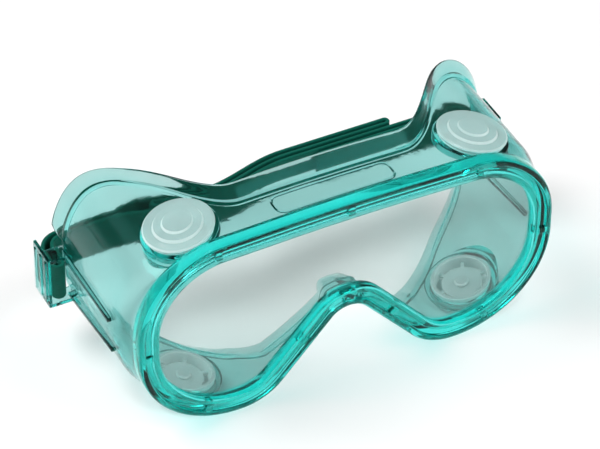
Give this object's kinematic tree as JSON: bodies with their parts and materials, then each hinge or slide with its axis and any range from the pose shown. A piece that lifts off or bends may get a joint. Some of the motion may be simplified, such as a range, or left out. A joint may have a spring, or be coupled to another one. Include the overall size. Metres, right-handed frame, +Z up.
{
  "type": "safety goggles",
  "caption": "Soft-bodied safety goggles with a clear lens, round capped vents on the top and bottom walls and a folded elastic head strap.",
  "frame": {"origin": "bottom centre of the whole: on the table plane, midway between the two sides and midway between the rim's front face and the back of the folded strap", "axes": "+X to the right as seen from the front, +Y from the lens back towards the wearer's face, +Z up"},
  "size_m": [0.1838, 0.0786, 0.0817],
  "materials": {
    "green_vinyl": "translucent soft PVC with a wet gloss, saturated where it is thick and nearly clear in the thin walls",
    "clear_polycarbonate": "clear and polished",
    "frosted_plastic": "milky translucent satin",
    "dark_green_elastic": "woven elastic webbing"
  },
  "bodies": {
    "mask": {"body": "green_vinyl", "lens": "clear_polycarbonate", "vent_base_upper_left": "frosted_plastic", "vent_base_upper_right": "frosted_plastic", "vent_base_lower_left": "frosted_plastic", "vent_base_lower_right": "frosted_plastic"},
    "cap_upper_left": {"vent_cap_upper_left": "frosted_plastic"},
    "cap_upper_right": {"vent_cap_upper_right": "frosted_plastic"},
    "cap_lower_left": {"vent_cap_lower_left": "frosted_plastic"},
    "cap_lower_right": {"vent_cap_lower_right": "frosted_plastic"},
    "head_strap": {"strap": "dark_green_elastic"}
  },
  "joints": [
    {"name": "strap_swing", "type": "hinge", "parent": "mask", "child": "head_strap", "pos_m": [0, 0.02065, 0.03478], "axis": [1, 0, 0], "range_deg": [-16, 16]},
    {"name": "cap_turn_upper_left", "type": "hinge", "parent": "mask", "child": "cap_upper_left", "pos_m": [-0.057, -0.02045, 0.07608], "axis": [-0.2079, 0, 0.9781], "continuous": true},
    {"name": "cap_turn_upper_right", "type": "hinge", "parent": "mask", "child": "cap_upper_right", "pos_m": [0.057, -0.02045, 0.07608], "axis": [0.2079, 0, 0.9781], "continuous": true},
    {"name": "cap_turn_lower_left", "type": "hinge", "parent": "mask", "child": "cap_lower_left", "pos_m": [-0.0568, -0.01975, 0.00558], "axis": [-0.2079, 0, -0.9781], "continuous": true},
    {"name": "cap_turn_lower_right", "type": "hinge", "parent": "mask", "child": "cap_lower_right", "pos_m": [0.0568, -0.01975, 0.00558], "axis": [0.2079, 0, -0.9781], "continuous": true}
  ]
}
